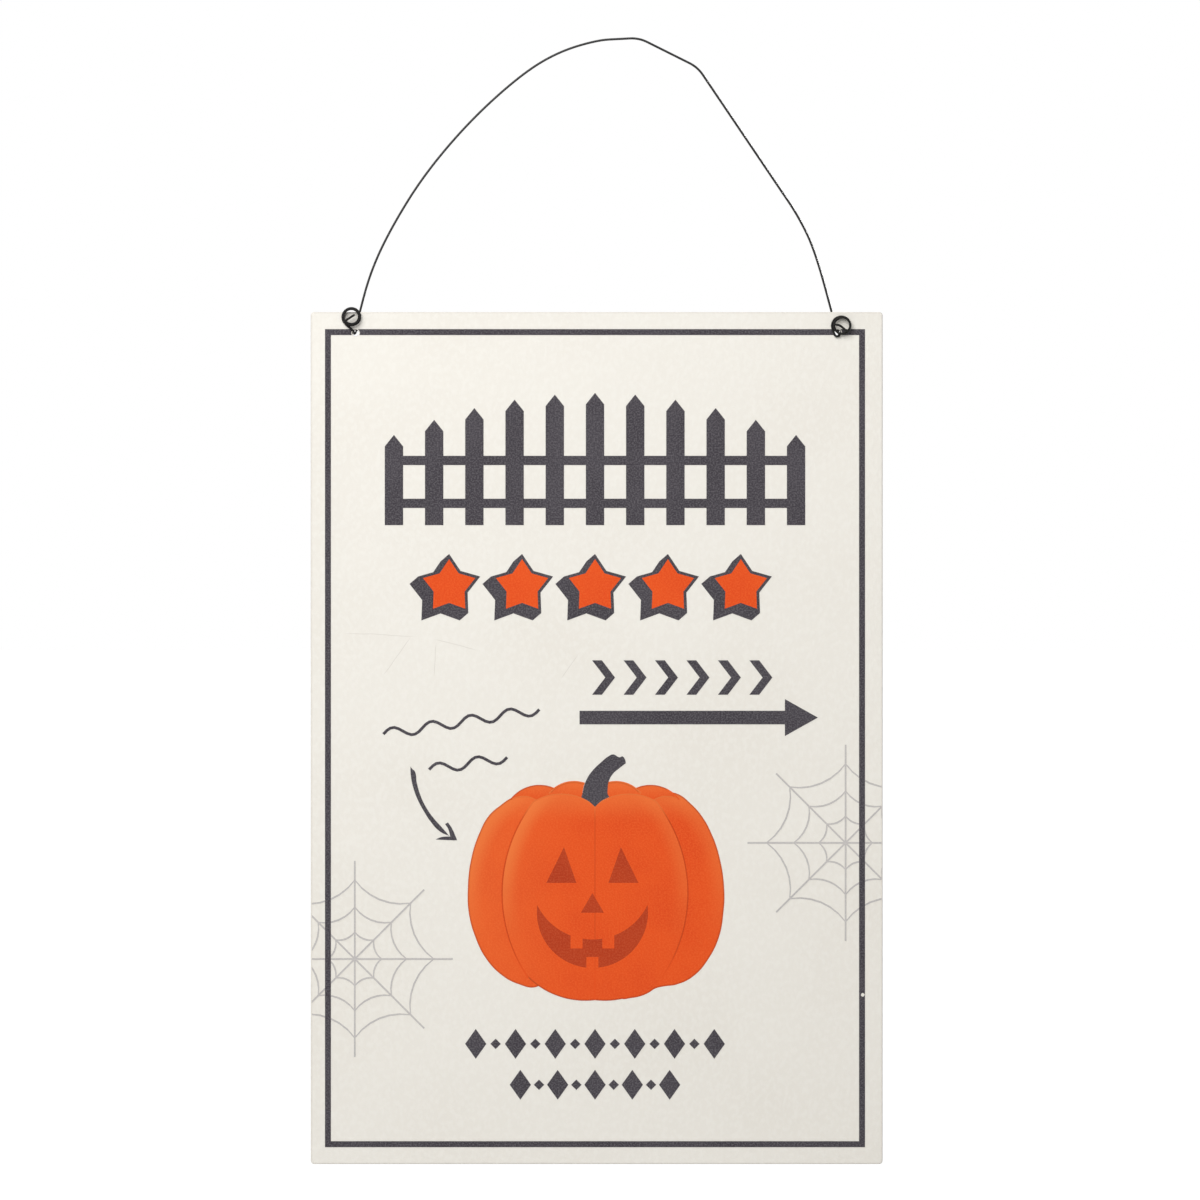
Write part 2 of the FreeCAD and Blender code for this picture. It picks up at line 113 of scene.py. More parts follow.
def new_material(name, roughness, sheen=0.5):
    material = bpy.data.materials.new(name)
    material.use_nodes = True
    tree = material.node_tree
    shader = tree.nodes["Principled BSDF"]
    shader.inputs["Roughness"].default_value = roughness
    shader.inputs["Specular IOR Level"].default_value = sheen
    return material, tree, shader


def feed(tree, socket, value):
    """Gives a socket a number or colour, or the output of another node."""
    if isinstance(value, bpy.types.NodeSocket):
        tree.links.new(value, socket)
    else:
        socket.default_value = value


def position(tree):
    return tree.nodes.new("ShaderNodeTexCoord").outputs["Object"]


def grain(tree, per_metre, detail=2):
    """Cloudy noise with so many patches to the metre along x, y and z."""
    mapping = tree.nodes.new("ShaderNodeMapping")
    mapping.inputs["Scale"].default_value = per_metre
    tree.links.new(position(tree), mapping.inputs["Vector"])
    texture = tree.nodes.new("ShaderNodeTexNoise")
    texture.inputs["Scale"].default_value = 1
    texture.inputs["Detail"].default_value = detail
    tree.links.new(mapping.outputs["Vector"], texture.inputs["Vector"])
    return texture.outputs["Fac"]


def spread(tree, value, low, high):
    """Brings the range from low to high to 0 to 1, with soft ends."""
    node = tree.nodes.new("ShaderNodeMapRange")
    node.interpolation_type = "SMOOTHSTEP"
    feed(tree, node.inputs["Value"], value)
    node.inputs["From Min"].default_value = low
    node.inputs["From Max"].default_value = high
    return node.outputs["Result"]


def patches(tree, pattern):
    """Soft patches from 0 to 1, in a finish's own pattern."""
    per_metre, detail, low, high = pattern
    return spread(tree, grain(tree, per_metre, detail), low, high)


def reckon(tree, operation, *values):
    node = tree.nodes.new("ShaderNodeMath")
    node.operation = operation
    for socket, value in zip(node.inputs, values):
        feed(tree, socket, value)
    return node.outputs[0]


def reckon_vector(tree, operation, result, *vectors):
    """One sum with vectors, and the result of it that is called Vector or Value."""
    node = tree.nodes.new("ShaderNodeVectorMath")
    node.operation = operation
    for socket, vector in zip(node.inputs, vectors):
        feed(tree, socket, vector)
    return node.outputs[result]


def along_axes(tree, vector):
    """A vector's three parts, called X, Y and Z."""
    node = tree.nodes.new("ShaderNodeSeparateXYZ")
    tree.links.new(vector, node.inputs["Vector"])
    return node.outputs


def blend(tree, share, under, over):
    node = tree.nodes.new("ShaderNodeMix")
    node.data_type = "RGBA"
    feed(tree, node.inputs[0], share)
    feed(tree, node.inputs[6], under)
    feed(tree, node.inputs[7], over)
    return node.outputs[2]


def scratch_line(tree, start, end):
    """1 on a hairline in the front face, bowed and fading at both ends, and 0 beside it."""
    run = end - start
    across = Vector((-run.z, 0, run.x)).normalized()
    offset = reckon_vector(tree, "SUBTRACT", "Vector", position(tree), start)
    directions = (run.normalized(), across, Vector((0, 1, 0)))
    along, aside, behind = [reckon_vector(tree, "DOT_PRODUCT", "Value", offset, way) for way in directions]
    bow = reckon(tree, "MULTIPLY", grain(tree, SCRATCH_BOWS_PER_METRE), SCRATCH_BOW)
    beside = reckon(tree, "ABSOLUTE", reckon(tree, "ADD", aside, bow))
    begun = spread(tree, along, 0, run.length * SCRATCH_FADE)
    ended = spread(tree, along, run.length, run.length * (1 - SCRATCH_FADE))
    inside = reckon(tree, "MULTIPLY", begun, ended)
    on_front = reckon(tree, "LESS_THAN", behind, SCRATCH_WIDTH)
    line = reckon(tree, "MULTIPLY", on_front, spread(tree, beside, SCRATCH_WIDTH, SCRATCH_WIDTH / 4))
    return reckon(tree, "MULTIPLY", inside, line)


def add_bump(tree, shader, height, distance):
    bump = tree.nodes.new("ShaderNodeBump")
    bump.inputs["Strength"].default_value = 1
    bump.inputs["Distance"].default_value = distance
    feed(tree, bump.inputs["Height"], height)
    tree.links.new(bump.outputs["Normal"], shader.inputs["Normal"])


def paint_material():
    material, tree, shader = new_material("board_paint", PAINT_ROUGHNESS, PAINT_SHEEN)
    clouds = reckon(tree, "MULTIPLY", patches(tree, PAINT_CLOUDS), CLOUD_STRENGTH)
    colour = blend(tree, clouds, linear(PAINT), linear(PAINT_SHADE))
    peel = patches(tree, PAINT_DOTS)
    colour = blend(tree, reckon(tree, "MULTIPLY", peel, PEEL_STRENGTH), colour, linear(PAINT_PEEL))
    for scratch in SCRATCHES:
        ends = [Vector((across, board_low.y, board_high.z + up)) for across, up in scratch]
        line = reckon(tree, "MULTIPLY", scratch_line(tree, *ends), SCRATCH_STRENGTH)
        colour = blend(tree, line, colour, linear(SCRATCH_SHADE))
    # Darkens a narrow, uneven band along every edge of the board: partly rubbed paint, partly painted shade
    # where the eased edges turn away from the light
    place = along_axes(tree, position(tree))
    middle_z = (board_high.z + board_low.z) / 2
    from_middle = reckon(tree, "ABSOLUTE", reckon(tree, "SUBTRACT", place["Z"], middle_z))
    sideways = reckon(tree, "SUBTRACT", reckon(tree, "ABSOLUTE", place["X"]), board_high.x)
    upright = reckon(tree, "SUBTRACT", from_middle, board_high.z - middle_z)
    to_edge = reckon(tree, "MAXIMUM", sideways, upright)
    at_edge = spread(tree, to_edge, -EDGE_WEAR_AND_SHADE_WIDTH, 0)
    uneven = grain(tree, EDGE_WEAR_AND_SHADE_PER_METRE, EDGE_WEAR_AND_SHADE_DETAIL)
    wear_and_shade_share = reckon(tree, "MULTIPLY_ADD", uneven, EDGE_WEAR_AND_SHADE_VARIETY, EDGE_WEAR_AND_SHADE_LEAST)
    edge_wear_and_shade = reckon(tree, "MULTIPLY", at_edge, wear_and_shade_share)
    colour = blend(tree, edge_wear_and_shade, colour, linear(PAINT_WORN_AND_SHADE))
    tree.links.new(colour, shader.inputs["Base Color"])
    add_bump(tree, shader, peel, PEEL_HEIGHT)
    return material


def bare_fibre_material():
    material, tree, shader = new_material("bare_fibreboard", FIBRE_ROUGHNESS)
    fibres = patches(tree, FIBRES)
    colour = blend(tree, fibres, linear(BARE_FIBRE), linear(BARE_FIBRE_DARK))
    tree.links.new(colour, shader.inputs["Base Color"])
    add_bump(tree, shader, fibres, FIBRE_HEIGHT)
    return material


def choose(mesh_object, edges=None, faces=None):
    """Selects, in edit mode, the edges or faces that pass a test, and nothing else."""
    bpy.ops.mesh.select_all(action="DESELECT")
    mesh = bmesh.from_edit_mesh(mesh_object.data)
    chosen = [edge for edge in mesh.edges if edges and edges(edge)]
    chosen += [face for face in mesh.faces if faces and faces(face)]
    for element in chosen:
        element.select_set(True)
    bmesh.update_edit_mesh(mesh_object.data)


def meets(one, other):
    """True for two measures that differ by less than a thousandth of a millimetre."""
    return abs(one - other) < 1e-6


def is_along_y(edge):
    run = edge.verts[1].co - edge.verts[0].co
    return meets(abs(run.y), run.length)


def is_on_face(edge):
    """True for an edge that lies flat in the front or the back of the board."""
    start, end = [vertex.co.y for vertex in edge.verts]
    return meets(start, end) and (meets(start, board_low.y) or meets(start, board_high.y))


def is_at_hole(point):
    reach = HOLE_RADIUS + 3 * HOLE_RIM
    return any(math.hypot(point.x - hole.x, point.z - hole.z) < reach for hole in hole_places)


def is_hole_rim(edge):
    return is_on_face(edge) and all(is_at_hole(end.co) for end in edge.verts)


def is_hole_wall(face):
    return is_at_hole(face.calc_center_median()) and abs(face.normal.y) < 0.5


bpy.ops.object.select_all(action="DESELECT")
bpy.ops.mesh.primitive_cube_add(size=1, location=(board_low + board_high) / 2)
board = bpy.context.object
board.name = "painted_board"
board.scale = board_high - board_low
bpy.ops.object.transform_apply(location=True, rotation=True, scale=True)
bpy.ops.object.mode_set(mode="EDIT")
bpy.ops.mesh.select_mode(type="EDGE")
choose(board, edges=is_along_y)
bpy.ops.mesh.bevel(offset=CORNER_RADIUS, segments=CORNER_STEPS)
choose(board, edges=is_on_face)
bpy.ops.mesh.bevel(offset=EDGE_RADIUS, segments=EDGE_STEPS)
bpy.ops.object.mode_set(mode="OBJECT")
for hole in hole_places:
    bpy.ops.object.select_all(action="DESELECT")
    bpy.ops.mesh.primitive_cylinder_add(
        vertices=HOLE_SIDES, radius=HOLE_RADIUS, depth=bit_length,
        location=hole, rotation=(math.pi / 2, 0, 0))
    bit = bpy.context.object
    bpy.context.view_layer.objects.active = board
    drilled = board.modifiers.new("drilled_hole", "BOOLEAN")
    drilled.operation = "DIFFERENCE"
    drilled.solver = "EXACT"
    drilled.object = bit
    bpy.ops.object.modifier_apply(modifier=drilled.name)
    bpy.data.objects.remove(bit)
bpy.ops.object.select_all(action="DESELECT")
board.select_set(True)
board.data.materials.append(paint_material())
board.data.materials.append(bare_fibre_material())
bpy.ops.object.mode_set(mode="EDIT")
choose(board, edges=is_hole_rim)
bpy.ops.mesh.bevel(offset=HOLE_RIM, segments=RIM_STEPS)
bpy.ops.mesh.select_mode(type="FACE")
choose(board, faces=is_hole_wall)
board.active_material_index = 1
bpy.ops.object.material_slot_assign()
bpy.ops.object.mode_set(mode="OBJECT")
bpy.ops.object.shade_smooth_by_angle(angle=math.radians(BOARD_SMOOTH_BELOW))
flat_faces = board.modifiers.new("flat_faces", "WEIGHTED_NORMAL")
flat_faces.keep_sharp = True
bpy.ops.object.modifier_apply(modifier=flat_faces.name)
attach(board, "root")
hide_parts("board")

# Charcoal print: border, fence, block shades, chevrons, arrows, wavy lines, lozenges and the stem, in
# one matt ink with the fine pale speckle of a sprayed surface. It is flaked where the holes were
# drilled through it and chipped once on the border. The small bent arrow is drawn as with a brush.
CHARCOAL = (73, 69, 75)
CHARCOAL_DARK = (65, 61, 67)
CHARCOAL_PALE = (112, 108, 112)
CHARCOAL_NODES = [
    "border_print", "fence_print", "star_shade_print", "chevron_print", "way_arrow_print",
    "wave_print", "lozenge_print",
]
CHARCOAL_SPECKLE = 0.6
INK_ROUGHNESS = 0.75
INK_SHEEN = 0.12
INK_CLOUDS = ((60, 60, 60), 3, 0.35, 0.65)
INK_DOTS = ((1700, 1700, 1900), 5, 0.4, 0.66)
INK_HEIGHT = 0.00002
BORDER_CHIP = Vector((0.0930, board_low.y, board_high.z - 0.2388))
CHIP_REACH = 0.0007
FLAKE_REACH = 0.0014
FLAKE_BARE = 0.8
FLAKE_RAGGED = 0.0008
FLAKES_PER_METRE = (1500, 1500, 1500)
INK_LAYER = 0.0001
STEM_LAYER = 0.00012

# Places round the bent arrow's strokes and the stem, across and up from the middle of the top edge
POINTER_SHAFT = [
    (-0.0651, -0.1589), (-0.0651, -0.1607), (-0.0647, -0.1640), (-0.0639, -0.1671), (-0.0626, -0.1705),
    (-0.0607, -0.1741), (-0.0582, -0.1780), (-0.0550, -0.1815), (-0.0516, -0.1832), (-0.0538, -0.1806),
    (-0.0567, -0.1774), (-0.0593, -0.1738), (-0.0615, -0.1694), (-0.0629, -0.1647), (-0.0637, -0.1605),
    (-0.0644, -0.1599),
]
SHAFT_CORNERS = [0, 8]
POINTER_HEAD = [
    (-0.0530, -0.1790), (-0.0520, -0.1785), (-0.0506, -0.1806), (-0.0488, -0.1847), (-0.0527, -0.1846),
    (-0.0563, -0.1844), (-0.0543, -0.1836), (-0.0512, -0.1834), (-0.0519, -0.1808),
]
HEAD_CORNERS = [0, 1, 3, 5, 7]
STEM = [
    (0.0057, -0.1547), (0.0080, -0.1557), (0.0090, -0.1554), (0.0097, -0.1561), (0.0102, -0.1577),
    (0.0080, -0.1594), (0.0056, -0.1615), (0.0042, -0.1641), (0.0038, -0.1672), (0.0038, -0.1684),
    (0.0044, -0.1695), (0.0017, -0.1709), (-0.0006, -0.1730), (-0.0029, -0.1710), (-0.0054, -0.1697),
    (-0.0049, -0.1680), (-0.0044, -0.1658), (-0.0035, -0.1634), (-0.0015, -0.1604), (0.0017, -0.1573),
    (0.0039, -0.1555),
]
STEM_CORNERS = [4, 10, 12, 14]


def speckled_ink(name, dark, middle, pale, speckle):
    """Matt ink from dark to pale, with soft clouds and so strong a speckle."""
    material, tree, shader = new_material(name, INK_ROUGHNESS, INK_SHEEN)
    colour = blend(tree, patches(tree, INK_CLOUDS), linear(dark), linear(middle))
    dots = patches(tree, INK_DOTS)
    colour = blend(tree, reckon(tree, "MULTIPLY", dots, speckle), colour, linear(pale))
    add_bump(tree, shader, dots, INK_HEIGHT)
    return material, tree, shader, colour


def flaked_spot(tree, point, reach):
    """1 at a point of the front face, up to a share of the reach, and 0 beyond it, with a ragged rim."""
    apart = reckon_vector(tree, "DISTANCE", "Value", position(tree), point)
    ragged = reckon(tree, "MULTIPLY_ADD", grain(tree, FLAKES_PER_METRE), FLAKE_RAGGED, -FLAKE_RAGGED / 2)
    return spread(tree, reckon(tree, "ADD", apart, ragged), reach, reach * FLAKE_BARE)


def charcoal_material():
    material, tree, shader, colour = speckled_ink(
        "charcoal_ink", CHARCOAL_DARK, CHARCOAL, CHARCOAL_PALE, CHARCOAL_SPECKLE)
    bare = [(BORDER_CHIP, CHIP_REACH)] + [(hole, FLAKE_REACH) for hole in hole_places]
    for point, reach in bare:
        colour = blend(tree, flaked_spot(tree, point, reach), colour, linear(PAINT))
    tree.links.new(colour, shader.inputs["Base Color"])
    return material


def cover(names, material):
    """Gives these printed fields a material of their own."""
    for name in names:
        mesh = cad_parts[name].data
        mesh.materials.clear()
        mesh.materials.append(material)


def mesh_along(name, line):
    """A new object with the form of a curve, made a mesh and left as the one selected."""
    made = bpy.data.objects.new(name, line)
    bpy.context.scene.collection.objects.link(made)
    bpy.ops.object.select_all(action="DESELECT")
    made.select_set(True)
    bpy.context.view_layer.objects.active = made
    bpy.ops.object.convert(target="MESH")
    return made


def flat_field(name, places, corners, layer):
    """A closed curve through these places across and up, sharp at some, as a mesh in front of the paint."""
    line = bpy.data.curves.new(name, "CURVE")
    line.dimensions = "2D"
    line.fill_mode = "FRONT"
    spline = line.splines.new("BEZIER")
    spline.bezier_points.add(len(places) - 1)
    for number, (knot, (across, up)) in enumerate(zip(spline.bezier_points, places)):
        bend = "VECTOR" if number in corners else "AUTO"
        knot.co = (across, up, 0)
        knot.handle_left_type = bend
        knot.handle_right_type = bend
    spline.use_cyclic_u = True
    field = mesh_along(name, line)
    field.location = (0, board_low.y - layer, board_high.z)
    field.rotation_euler = (math.pi / 2, 0, 0)
    bpy.ops.object.transform_apply(location=True, rotation=True, scale=True)
    return field


def joined_layer(fields, layer, material):
    """Makes one piece of flat fields, as thick as their ink."""
    for field in fields:
        field.select_set(True)
    first = fields[0]
    bpy.context.view_layer.objects.active = first
    if len(fields) > 1:
        bpy.ops.object.join()
    ink = first.modifiers.new("ink_layer", "SOLIDIFY")
    ink.thickness = layer
    ink.offset = -1
    bpy.ops.object.modifier_apply(modifier=ink.name)
    first.data.materials.clear()
    first.data.materials.append(material)
    return first


charcoal = charcoal_material()
cover(CHARCOAL_NODES, charcoal)
strokes = [
    flat_field("bent_arrow", POINTER_SHAFT, SHAFT_CORNERS, INK_LAYER),
    flat_field("bent_arrow_head", POINTER_HEAD, HEAD_CORNERS, INK_LAYER),
]
pointer = joined_layer(strokes, INK_LAYER, charcoal)
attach(pointer, "root")
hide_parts("pointer_print")
stem_field = flat_field("pumpkin_stem", STEM, STEM_CORNERS, STEM_LAYER)
stem = joined_layer([stem_field], STEM_LAYER, charcoal)
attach(stem, "root")
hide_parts("pumpkin_stem_print")

# Pumpkin and stars: orange ink. Each lobe of the pumpkin is paler along its outer edge, as if it
# bulged, most of all in its upper part and on the left, where the drawn light comes from. A thin
# darker line runs round the outside. The side lobes are a thin layer under the front ones.
ORANGE = (238, 86, 33)
ORANGE_DEEP = (233, 80, 31)
ORANGE_SPECK = (246, 112, 51)
ORANGE_PALE = (246, 130, 66)
ORANGE_SPECKLE = 0.45
ORANGE_INK = (ORANGE_DEEP, ORANGE, ORANGE_SPECK, ORANGE_SPECKLE)
ORANGE_OUTLINE = (176, 70, 36)
PUMPKIN_MIDDLE = Vector((-0.0006, board_low.y, board_high.z - 0.2024))
PUMPKIN_HALF = Vector((0.0448, 0, 0.0382))
GLOW_WIDTH = 0.0066
GLOW_LEAST = 0.4
FRONT_GLOW = 1
SIDE_GLOW = 0.95
LEFT_STRENGTH = 0.25
TOP_STRENGTH = 0.5
OUTLINE_WIDTH = 0.0007
OUTLINE_STRENGTH = 0.8

# Three places on an edge of the lobes, as shares of half the pumpkin's width and height
FRONT_SIDE = [(0.48, 0.815), (0.725, 0.01), (0.52, -0.795)]
FRONT_BOTTOM = [(0.52, -0.795), (0.27, -0.97), (0, -1)]
SIDE_OUTER = [(0.68, 0.86), (1, 0), (0.76, -0.77)]
BACK_INNER = [(0, 0.93), (0.17, 1), (0.36, 0.89)]
BACK_OUTER = [(0.2, 0.83), (0.43, 0.97), (0.66, 0.84)]
BACK_NOTCH = 0.34
SIDE_NOTCH = 0.56

# Where a change of colour begins and ends, in the same shares up or across
GLOW_RISE = (-0.6, 0.35)
GLOW_LEFTWARD = (0.5, -0.5)
LEFT_SPREAD = (0, -1)
FRONT_TOP = (0.6, 0.9)
BACK_TOP = (0.8, 1)
BOTTOM_FALL = (-0.55, -0.75)
BOTTOM_END = (0.24, 0.2)
SHOULDER = (0.52, 0.64)

# Places round each side lobe in the same shares: top, outer side, bottom, and under the front lobe
LEFT_LOBE = [
    (0.40, 0.76), (0.47, 0.835), (0.56, 0.868), (0.64, 0.855), (0.735, 0.785), (0.83, 0.685),
    (0.90, 0.535), (0.965, 0.30), (0.992, 0.03), (0.985, -0.20), (0.937, -0.413), (0.85, -0.62),
    (0.72, -0.778), (0.60, -0.852), (0.46, -0.88), (0.38, -0.80), (0.38, 0),
]
RIGHT_LOBE = [
    (0.40, 0.76), (0.47, 0.84), (0.565, 0.90), (0.65, 0.885), (0.75, 0.795), (0.83, 0.69),
    (0.905, 0.535), (0.973, 0.30), (1.009, 0), (1.002, -0.20), (0.97, -0.413), (0.892, -0.61),
    (0.77, -0.779), (0.64, -0.856), (0.53, -0.876), (0.472, -0.893), (0.414, -0.935), (0.351, -0.965),
    (0.28, -0.981), (0.2, -0.985), (0.15, -0.92), (0.25, -0.80), (0.38, 0),
]
LOBE_LAYER = 0.00005


def circle_through(shares):
    """Middle and radius of the circle through three places on the pumpkin's right half."""
    a, b, c = [Vector((across * PUMPKIN_HALF.x, up * PUMPKIN_HALF.z)) for across, up in shares]
    to_b, to_c = b - a, c - a
    twice_area = 2 * to_b.cross(to_c)
    right = (to_c.y * to_b.length_squared - to_b.y * to_c.length_squared) / twice_area
    up = (to_b.x * to_c.length_squared - to_c.x * to_b.length_squared) / twice_area
    return a + Vector((right, up)), math.hypot(right, up)


def place_on_pumpkin(tree):
    """How far a place on the pumpkin lies from its middle, called X to the right and Z upward."""
    return along_axes(tree, reckon_vector(tree, "SUBTRACT", "Vector", position(tree), PUMPKIN_MIDDLE))


def from_crease(tree):
    """How far to either side of its middle a place on the pumpkin lies."""
    return reckon(tree, "ABSOLUTE", place_on_pumpkin(tree)["X"])


def upward(tree, start, end):
    """From 0 to 1 between two shares of half the pumpkin's height."""
    return spread(tree, place_on_pumpkin(tree)["Z"], start * PUMPKIN_HALF.z, end * PUMPKIN_HALF.z)


def crosswise(tree, start, end):
    """From 0 to 1 between two shares of half the pumpkin's width."""
    return spread(tree, place_on_pumpkin(tree)["X"], start * PUMPKIN_HALF.x, end * PUMPKIN_HALF.x)


def near_edge(tree, shares, width):
    """1 on an edge of the lobes, on either half of the pumpkin, and 0 so far from it."""
    folded = tree.nodes.new("ShaderNodeCombineXYZ")
    tree.links.new(from_crease(tree), folded.inputs["X"])
    tree.links.new(place_on_pumpkin(tree)["Z"], folded.inputs["Y"])
    middle, radius = circle_through(shares)
    apart = reckon_vector(tree, "DISTANCE", "Value", folded.outputs["Vector"], (*middle, 0))
    beside = reckon(tree, "ABSOLUTE", reckon(tree, "SUBTRACT", radius, apart))
    return spread(tree, beside, width, 0)


def paler_above(tree, colour, start, end):
    """Pales a colour from one share of half the pumpkin's height up to another."""
    share = reckon(tree, "MULTIPLY", upward(tree, start, end), TOP_STRENGTH)
    return blend(tree, share, colour, linear(ORANGE_PALE))


def lit_lobe(tree, colour, side, strength):
    """Pales a lobe along its side, so strongly, and weakly over its top and to the left."""
    least = GLOW_LEAST * strength
    leftward = reckon(tree, "MULTIPLY_ADD", crosswise(tree, *GLOW_LEFTWARD), least, least)
    lit = reckon(tree, "MULTIPLY", upward(tree, *GLOW_RISE), leftward)
    glow = reckon(tree, "MULTIPLY", near_edge(tree, side, GLOW_WIDTH), lit)
    broad = reckon(tree, "MULTIPLY", crosswise(tree, *LEFT_SPREAD), LEFT_STRENGTH)
    colour = blend(tree, broad, colour, linear(ORANGE_PALE))
    return blend(tree, glow, paler_above(tree, colour, *FRONT_TOP), linear(ORANGE_PALE))


def outlined(tree, colour, line):
    share = reckon(tree, "MULTIPLY", line, OUTLINE_STRENGTH)
    return blend(tree, share, colour, linear(ORANGE_OUTLINE))


def front_lobe_material():
    """The outline runs along the bottom, as far as the right side lobe shows below it."""
    material, tree, shader, colour = speckled_ink("front_lobe_ink", *ORANGE_INK)
    colour = lit_lobe(tree, colour, FRONT_SIDE, FRONT_GLOW)
    lowest = reckon(tree, "MULTIPLY", upward(tree, *BOTTOM_FALL), crosswise(tree, *BOTTOM_END))
    bottom = reckon(tree, "MULTIPLY", near_edge(tree, FRONT_BOTTOM, OUTLINE_WIDTH), lowest)
    tree.links.new(outlined(tree, colour, bottom), shader.inputs["Base Color"])
    return material


def side_lobe_material():
    """The outline follows the rim that the mesh marks, apart from the top, which the back lobe meets."""
    material, tree, shader, colour = speckled_ink("side_lobe_ink", *ORANGE_INK)
    colour = lit_lobe(tree, colour, SIDE_OUTER, SIDE_GLOW)
    outward = spread(tree, from_crease(tree), *[share * PUMPKIN_HALF.x for share in SHOULDER])
    lower_half = reckon(tree, "LESS_THAN", place_on_pumpkin(tree)["Z"], 0)
    outer = reckon(tree, "MAXIMUM", outward, lower_half)
    rim = tree.nodes.new("ShaderNodeAttribute")
    rim.attribute_name = "rim"
    line = reckon(tree, "MULTIPLY", rim.outputs["Fac"], outer)
    tree.links.new(outlined(tree, colour, line), shader.inputs["Base Color"])
    return material


def back_lobe_material():
    """The outline follows two humps on each half, and ends at the notch beside the right side lobe."""
    material, tree, shader, colour = speckled_ink("back_lobe_ink", *ORANGE_INK)
    colour = paler_above(tree, colour, *BACK_TOP)
    outer = reckon(tree, "GREATER_THAN", from_crease(tree), BACK_NOTCH * PUMPKIN_HALF.x)
    inner = reckon(tree, "SUBTRACT", 1, outer)
    before_notch = reckon(tree, "LESS_THAN", place_on_pumpkin(tree)["X"], SIDE_NOTCH * PUMPKIN_HALF.x)
    outer = reckon(tree, "MULTIPLY", outer, before_notch)
    for part, edge in ((outer, BACK_OUTER), (inner, BACK_INNER)):
        line = reckon(tree, "MULTIPLY", near_edge(tree, edge, OUTLINE_WIDTH), part)
        colour = outlined(tree, colour, line)
    tree.links.new(colour, shader.inputs["Base Color"])
    return material


def plain_ink_material(name, dark, middle, pale, speckle):
    material, tree, shader, colour = speckled_ink(name, dark, middle, pale, speckle)
    tree.links.new(colour, shader.inputs["Base Color"])
    return material


def side_lobe(name, side, shares):
    """One lobe on the left or right, with its rim marked in the mesh."""
    places = []
    for across, up in shares:
        right = PUMPKIN_MIDDLE.x + side * across * PUMPKIN_HALF.x
        places.append((right, PUMPKIN_MIDDLE.z + up * PUMPKIN_HALF.z - board_high.z))
    lobe = flat_field(name, places, [], LOBE_LAYER)
    bpy.ops.object.mode_set(mode="EDIT")
    bpy.ops.mesh.select_all(action="SELECT")
    bpy.ops.mesh.inset(thickness=OUTLINE_WIDTH)
    marked = [float(vertex.is_boundary) for vertex in bmesh.from_edit_mesh(lobe.data).verts]
    bpy.ops.object.mode_set(mode="OBJECT")
    lobe.data.attributes.new("rim", "FLOAT", "POINT").data.foreach_set("value", marked)
    return lobe


cover(["pumpkin_front_print"], front_lobe_material())
cover(["pumpkin_back_print"], back_lobe_material())
cover(["star_print"], plain_ink_material("star_ink", *ORANGE_INK))
lobes = [side_lobe("side_lobes", -1, LEFT_LOBE), side_lobe("right_side_lobe", 1, RIGHT_LOBE)]
side_lobes = joined_layer(lobes, LOBE_LAYER, side_lobe_material())
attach(side_lobes, "root")
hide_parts("pumpkin_side_print")

# Ribs and cut face: darker orange inks over the lobes. The ribs are thin lines that part the
# lobes, faint at the crease in the middle, pale at the top and lost at the bottom, and the face is
# a flat, slightly browner field.
RIB = (212, 77, 32)
RIB_DARK = (204, 72, 30)
CREASE = (224, 82, 34)
CREASE_REACH = (0.0045, 0.003)
RIB_SPECKLE = 0.3
RIB_LOST = (-0.5, -0.78)
RIB_TOP = (0.62, 0.8)
RIB_TOP_STRENGTH = 0.7
CUT = (189, 65, 30)
CUT_DARK = (182, 60, 28)
CUT_PALE = (206, 90, 54)
CUT_SPECKLE = 0.5


def rib_material():
    material, tree, shader, colour = speckled_ink("rib_ink", RIB_DARK, RIB, ORANGE, RIB_SPECKLE)
    middle = spread(tree, from_crease(tree), *CREASE_REACH)
    colour = blend(tree, middle, colour, linear(CREASE))
    colour = blend(tree, upward(tree, *RIB_LOST), colour, linear(ORANGE))
    topmost = reckon(tree, "MULTIPLY", upward(tree, *RIB_TOP), RIB_TOP_STRENGTH)
    tree.links.new(blend(tree, topmost, colour, linear(ORANGE_PALE)), shader.inputs["Base Color"])
    return material


cover(["pumpkin_rib_print"], rib_material())
cover(["pumpkin_face_print"], plain_ink_material("cut_face_ink", CUT_DARK, CUT, CUT_PALE, CUT_SPECKLE))

# Cobwebs: thin pale grey lines in the same matt ink, behind the border and cut off by the sides
# of the board.
WEB_GREY = (202, 198, 195)
WEB_GREY_DARK = (195, 191, 189)
WEB_GREY_PALE = (218, 214, 210)
WEB_SPECKLE = 0.5
cover(["left_web_print", "right_web_print"],
      plain_ink_material("web_ink", WEB_GREY_DARK, WEB_GREY, WEB_GREY_PALE, WEB_SPECKLE))

# Wire hanger: one length of soft black annealed steel wire, bent by hand. It is threaded through
# the holes from behind, and each end is wound with round pliers into a curl in front of the
# board, which keeps it from pulling back.
WIRE_RADIUS = 0.0004
SEAT = 0.0006
BEARING_RISE = 0.0006
LEFT_EXIT = (-0.00045, -0.0004)
RIGHT_EXIT = (0, BEARING_RISE)
HANGER_RISE = 0.096
HOLE_LEAD = 0.0016
KINK_REACH = 0.0064
LONG_RUN_REACH = 0.012
WIRE_BLACK = (10, 9, 9)
WIRE_BROWN = (27, 24, 21)
WIRE_SHEEN = 0.35
WIRE_SCALE = ((700, 700, 700), 4, 0.45, 0.7)
SCALE_HEIGHT = 0.00003
ROUTE_STEPS = 10
WIRE_ROUNDNESS = 6
WIRE_SMOOTH_BELOW = 40
DRAWN_ROUGHNESS = 0.3
GRIPPED_ROUGHNESS = 0.85

